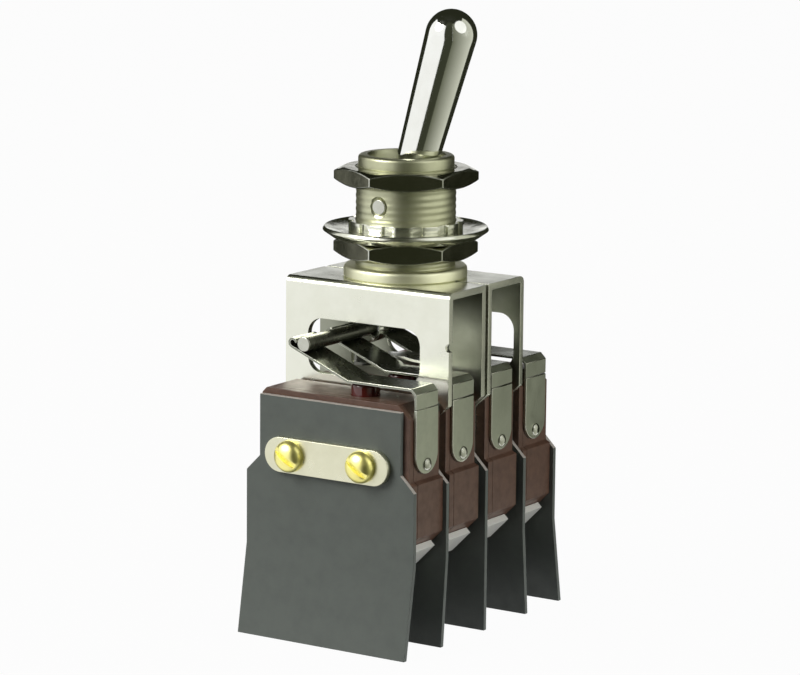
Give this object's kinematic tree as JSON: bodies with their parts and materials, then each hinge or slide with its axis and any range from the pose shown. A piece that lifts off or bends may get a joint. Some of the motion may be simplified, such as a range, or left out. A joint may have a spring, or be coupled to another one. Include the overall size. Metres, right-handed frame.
{
  "type": "panel toggle switch",
  "caption": "Bat-handle toggle in a threaded bushing over stamped channels; its bar works a stack of snap-action switches held between insulating barriers by long screws.",
  "frame": {"origin": "on the bushing's axis, in the plane that the back of the panel bears on (top face of the lock washer)", "axes": "+Z along the bushing towards the handle, +X towards the leaf brackets and the way the handle is thrown at rest, Y through the stack of switches"},
  "size_m": [0.0236, 0.0369, 0.0737],
  "materials": {
    "handle_chrome": "polished chrome plate",
    "bright_steel": "turned bright steel",
    "spring_steel": "formed spring strip",
    "bushing_nickel": "warm satin nickel over a turned body",
    "nut_nickel": "satin nickel plate",
    "ring_steel": "stamped, bright plated",
    "channel_steel": "bright stamped stainless sheet",
    "case_phenolic": "moulded brown phenolic",
    "cover_phenolic": "moulded brown phenolic",
    "plunger_red": "moulded dark red",
    "contact_copper": "copper alloy strip",
    "terminal_metal": "tinned strip",
    "leaf_steel": "dull grey spring steel",
    "barrier_grey": "smooth grey insulating sheet",
    "strap_nickel": "satin nickel plate",
    "screw_brass": "bright brass"
  },
  "bodies": {
    "frame": {"pivot_pin": "bright_steel", "detent_spring": "spring_steel", "bushing": "bushing_nickel", "lower_nut": "nut_nickel", "locating_ring": "ring_steel", "lock_washer": "ring_steel", "upper_nut": "nut_nickel", "front_channel": "channel_steel", "rear_channel": "channel_steel", "switch_case_1": "case_phenolic", "switch_cover_1": "cover_phenolic", "snap_blade_1": "contact_copper", "terminals_1": "terminal_metal", "leaf_bracket_1": "leaf_steel", "switch_case_2": "case_phenolic", "switch_cover_2": "cover_phenolic", "snap_blade_2": "contact_copper", "terminals_2": "terminal_metal", "leaf_bracket_2": "leaf_steel", "switch_case_3": "case_phenolic", "switch_cover_3": "cover_phenolic", "snap_blade_3": "contact_copper", "terminals_3": "terminal_metal", "leaf_bracket_3": "leaf_steel", "switch_case_4": "case_phenolic", "switch_cover_4": "cover_phenolic", "snap_blade_4": "contact_copper", "terminals_4": "terminal_metal", "leaf_bracket_4": "leaf_steel", "leaf_rivets": "bright_steel", "barrier_1": "barrier_grey", "barrier_2": "barrier_grey", "barrier_3": "barrier_grey", "barrier_4": "barrier_grey", "barrier_5": "barrier_grey", "front_strap": "strap_nickel", "rear_strap": "strap_nickel", "stack_screws": "screw_brass", "stack_nuts": "screw_brass"},
    "toggle": {"lever": "handle_chrome", "actuator_bar": "bright_steel"},
    "leaf_arm_1": {"leaf_1": "leaf_steel"},
    "button_1": {"plunger_1": "plunger_red"},
    "leaf_arm_2": {"leaf_2": "leaf_steel"},
    "button_2": {"plunger_2": "plunger_red"},
    "leaf_arm_3": {"leaf_3": "leaf_steel"},
    "button_3": {"plunger_3": "plunger_red"},
    "leaf_arm_4": {"leaf_4": "leaf_steel"},
    "button_4": {"plunger_4": "plunger_red"}
  },
  "joints": [
    {"name": "lever_tilt", "type": "hinge", "parent": "frame", "child": "toggle", "pos_m": [0, 0, 0.0021], "axis": [0, 1, 0], "range_deg": [-33.6, 0]},
    {"name": "leaf_lift_1", "type": "hinge", "parent": "frame", "child": "leaf_arm_1", "pos_m": [0.0109, -0.01202, -0.0193], "axis": [0, 1, 0], "range_deg": [0, 4.5]},
    {"name": "plunger_rise_1", "type": "slide", "parent": "frame", "child": "button_1", "axis": [0, 0, 1], "range_m": [0, 0.0005]},
    {"name": "leaf_lift_2", "type": "hinge", "parent": "frame", "child": "leaf_arm_2", "pos_m": [0.0109, -0.00428, -0.0193], "axis": [0, 1, 0], "range_deg": [0, 4.5]},
    {"name": "plunger_rise_2", "type": "slide", "parent": "frame", "child": "button_2", "axis": [0, 0, 1], "range_m": [0, 0.0005]},
    {"name": "leaf_lift_3", "type": "hinge", "parent": "frame", "child": "leaf_arm_3", "pos_m": [0.0109, 0.00428, -0.0193], "axis": [0, 1, 0], "range_deg": [0, 4.5]},
    {"name": "plunger_rise_3", "type": "slide", "parent": "frame", "child": "button_3", "axis": [0, 0, 1], "range_m": [0, 0.0005]},
    {"name": "leaf_lift_4", "type": "hinge", "parent": "frame", "child": "leaf_arm_4", "pos_m": [0.0109, 0.01202, -0.0193], "axis": [0, 1, 0], "range_deg": [0, 4.5]},
    {"name": "plunger_rise_4", "type": "slide", "parent": "frame", "child": "button_4", "axis": [0, 0, 1], "range_m": [0, 0.0005]}
  ],
  "couplings": [
    {"joint": "leaf_lift_1", "follows": "lever_tilt", "ratio": -0.13393},
    {"joint": "plunger_rise_1", "follows": "lever_tilt", "m_per_rad": -0.00085262},
    {"joint": "leaf_lift_2", "follows": "lever_tilt", "ratio": -0.13393},
    {"joint": "plunger_rise_2", "follows": "lever_tilt", "m_per_rad": -0.00085262},
    {"joint": "leaf_lift_3", "follows": "lever_tilt", "ratio": -0.13393},
    {"joint": "plunger_rise_3", "follows": "lever_tilt", "m_per_rad": -0.00085262},
    {"joint": "leaf_lift_4", "follows": "lever_tilt", "ratio": -0.13393},
    {"joint": "plunger_rise_4", "follows": "lever_tilt", "m_per_rad": -0.00085262}
  ]
}
